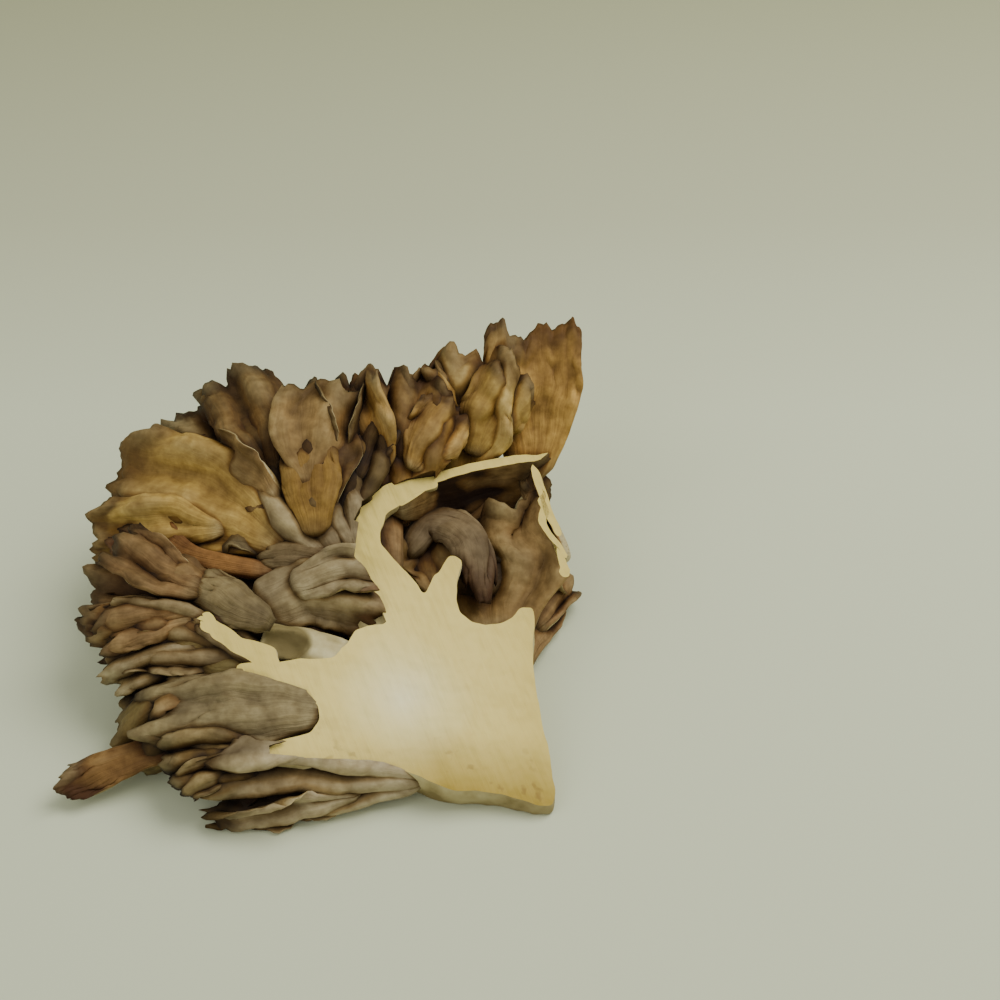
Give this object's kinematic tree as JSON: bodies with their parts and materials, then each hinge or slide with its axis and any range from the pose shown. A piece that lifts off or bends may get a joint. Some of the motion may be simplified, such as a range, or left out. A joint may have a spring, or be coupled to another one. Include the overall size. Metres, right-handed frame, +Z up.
{
  "type": "maitake mushroom half",
  "caption": "Half of a maitake mushroom split through its foot, lying on its rounded outside with the branching cream flesh up and wavy brown fronds all round.",
  "frame": {"origin": "middle of the bounding box on the surface that the half lies on", "axes": "+Z up from that surface, +X along the cut foot's front edge, +Y from the foot towards the crown"},
  "size_m": [0.1655, 0.1561, 0.0767],
  "materials": {
    "flesh": "cream white cut flesh, dry and faintly fibrous, yellow-brown at the foot",
    "grey_cap": "matt grey-brown, radially streaked",
    "golden_cap": "matt golden ochre, radially streaked",
    "tan_cap": "matt tan brown, radially streaked",
    "brown_cap": "matt reddish brown, darker at the margin",
    "dark_cap": "matt dark brown, dried at the margin"
  },
  "bodies": {
    "root": {"trunk": "flesh", "frond_finger": "brown_cap", "frond_front_skirt": "dark_cap", "frond_front_crumple": "dark_cap", "frond_grey_left": "grey_cap", "frond_olive": "tan_cap", "frond_brown_corner": "brown_cap", "frond_brown_lower": "grey_cap", "frond_light_grey": "grey_cap", "frond_reddish": "brown_cap", "frond_golden": "golden_cap", "frond_crown_left": "brown_cap", "frond_crown_lobe": "golden_cap", "frond_crown_tan": "tan_cap", "frond_crown_dark": "dark_cap", "frond_crown_striped": "tan_cap", "frond_back_golden": "golden_cap", "frond_back_tall": "tan_cap", "frond_mid_left": "grey_cap", "frond_mid_right": "grey_cap", "frond_pale_fold": "grey_cap", "frond_boulder": "grey_cap", "frond_cut_wave": "tan_cap", "frond_arch_cap": "tan_cap", "frond_arch_edge": "tan_cap", "frond_arch_back": "tan_cap", "frond_right_flank": "brown_cap", "frond_arch_hook": "grey_cap", "frond_upper_1": "brown_cap", "frond_upper_2": "tan_cap", "frond_upper_3": "grey_cap", "frond_upper_4": "brown_cap", "frond_upper_5": "tan_cap", "frond_upper_6": "grey_cap", "frond_middle_1": "brown_cap", "frond_middle_2": "tan_cap", "frond_middle_3": "grey_cap", "frond_middle_4": "brown_cap", "frond_middle_5": "tan_cap", "frond_lower_1": "brown_cap", "frond_lower_2": "tan_cap", "frond_lower_3": "grey_cap", "frond_lower_4": "brown_cap"}
  },
  "joints": []
}
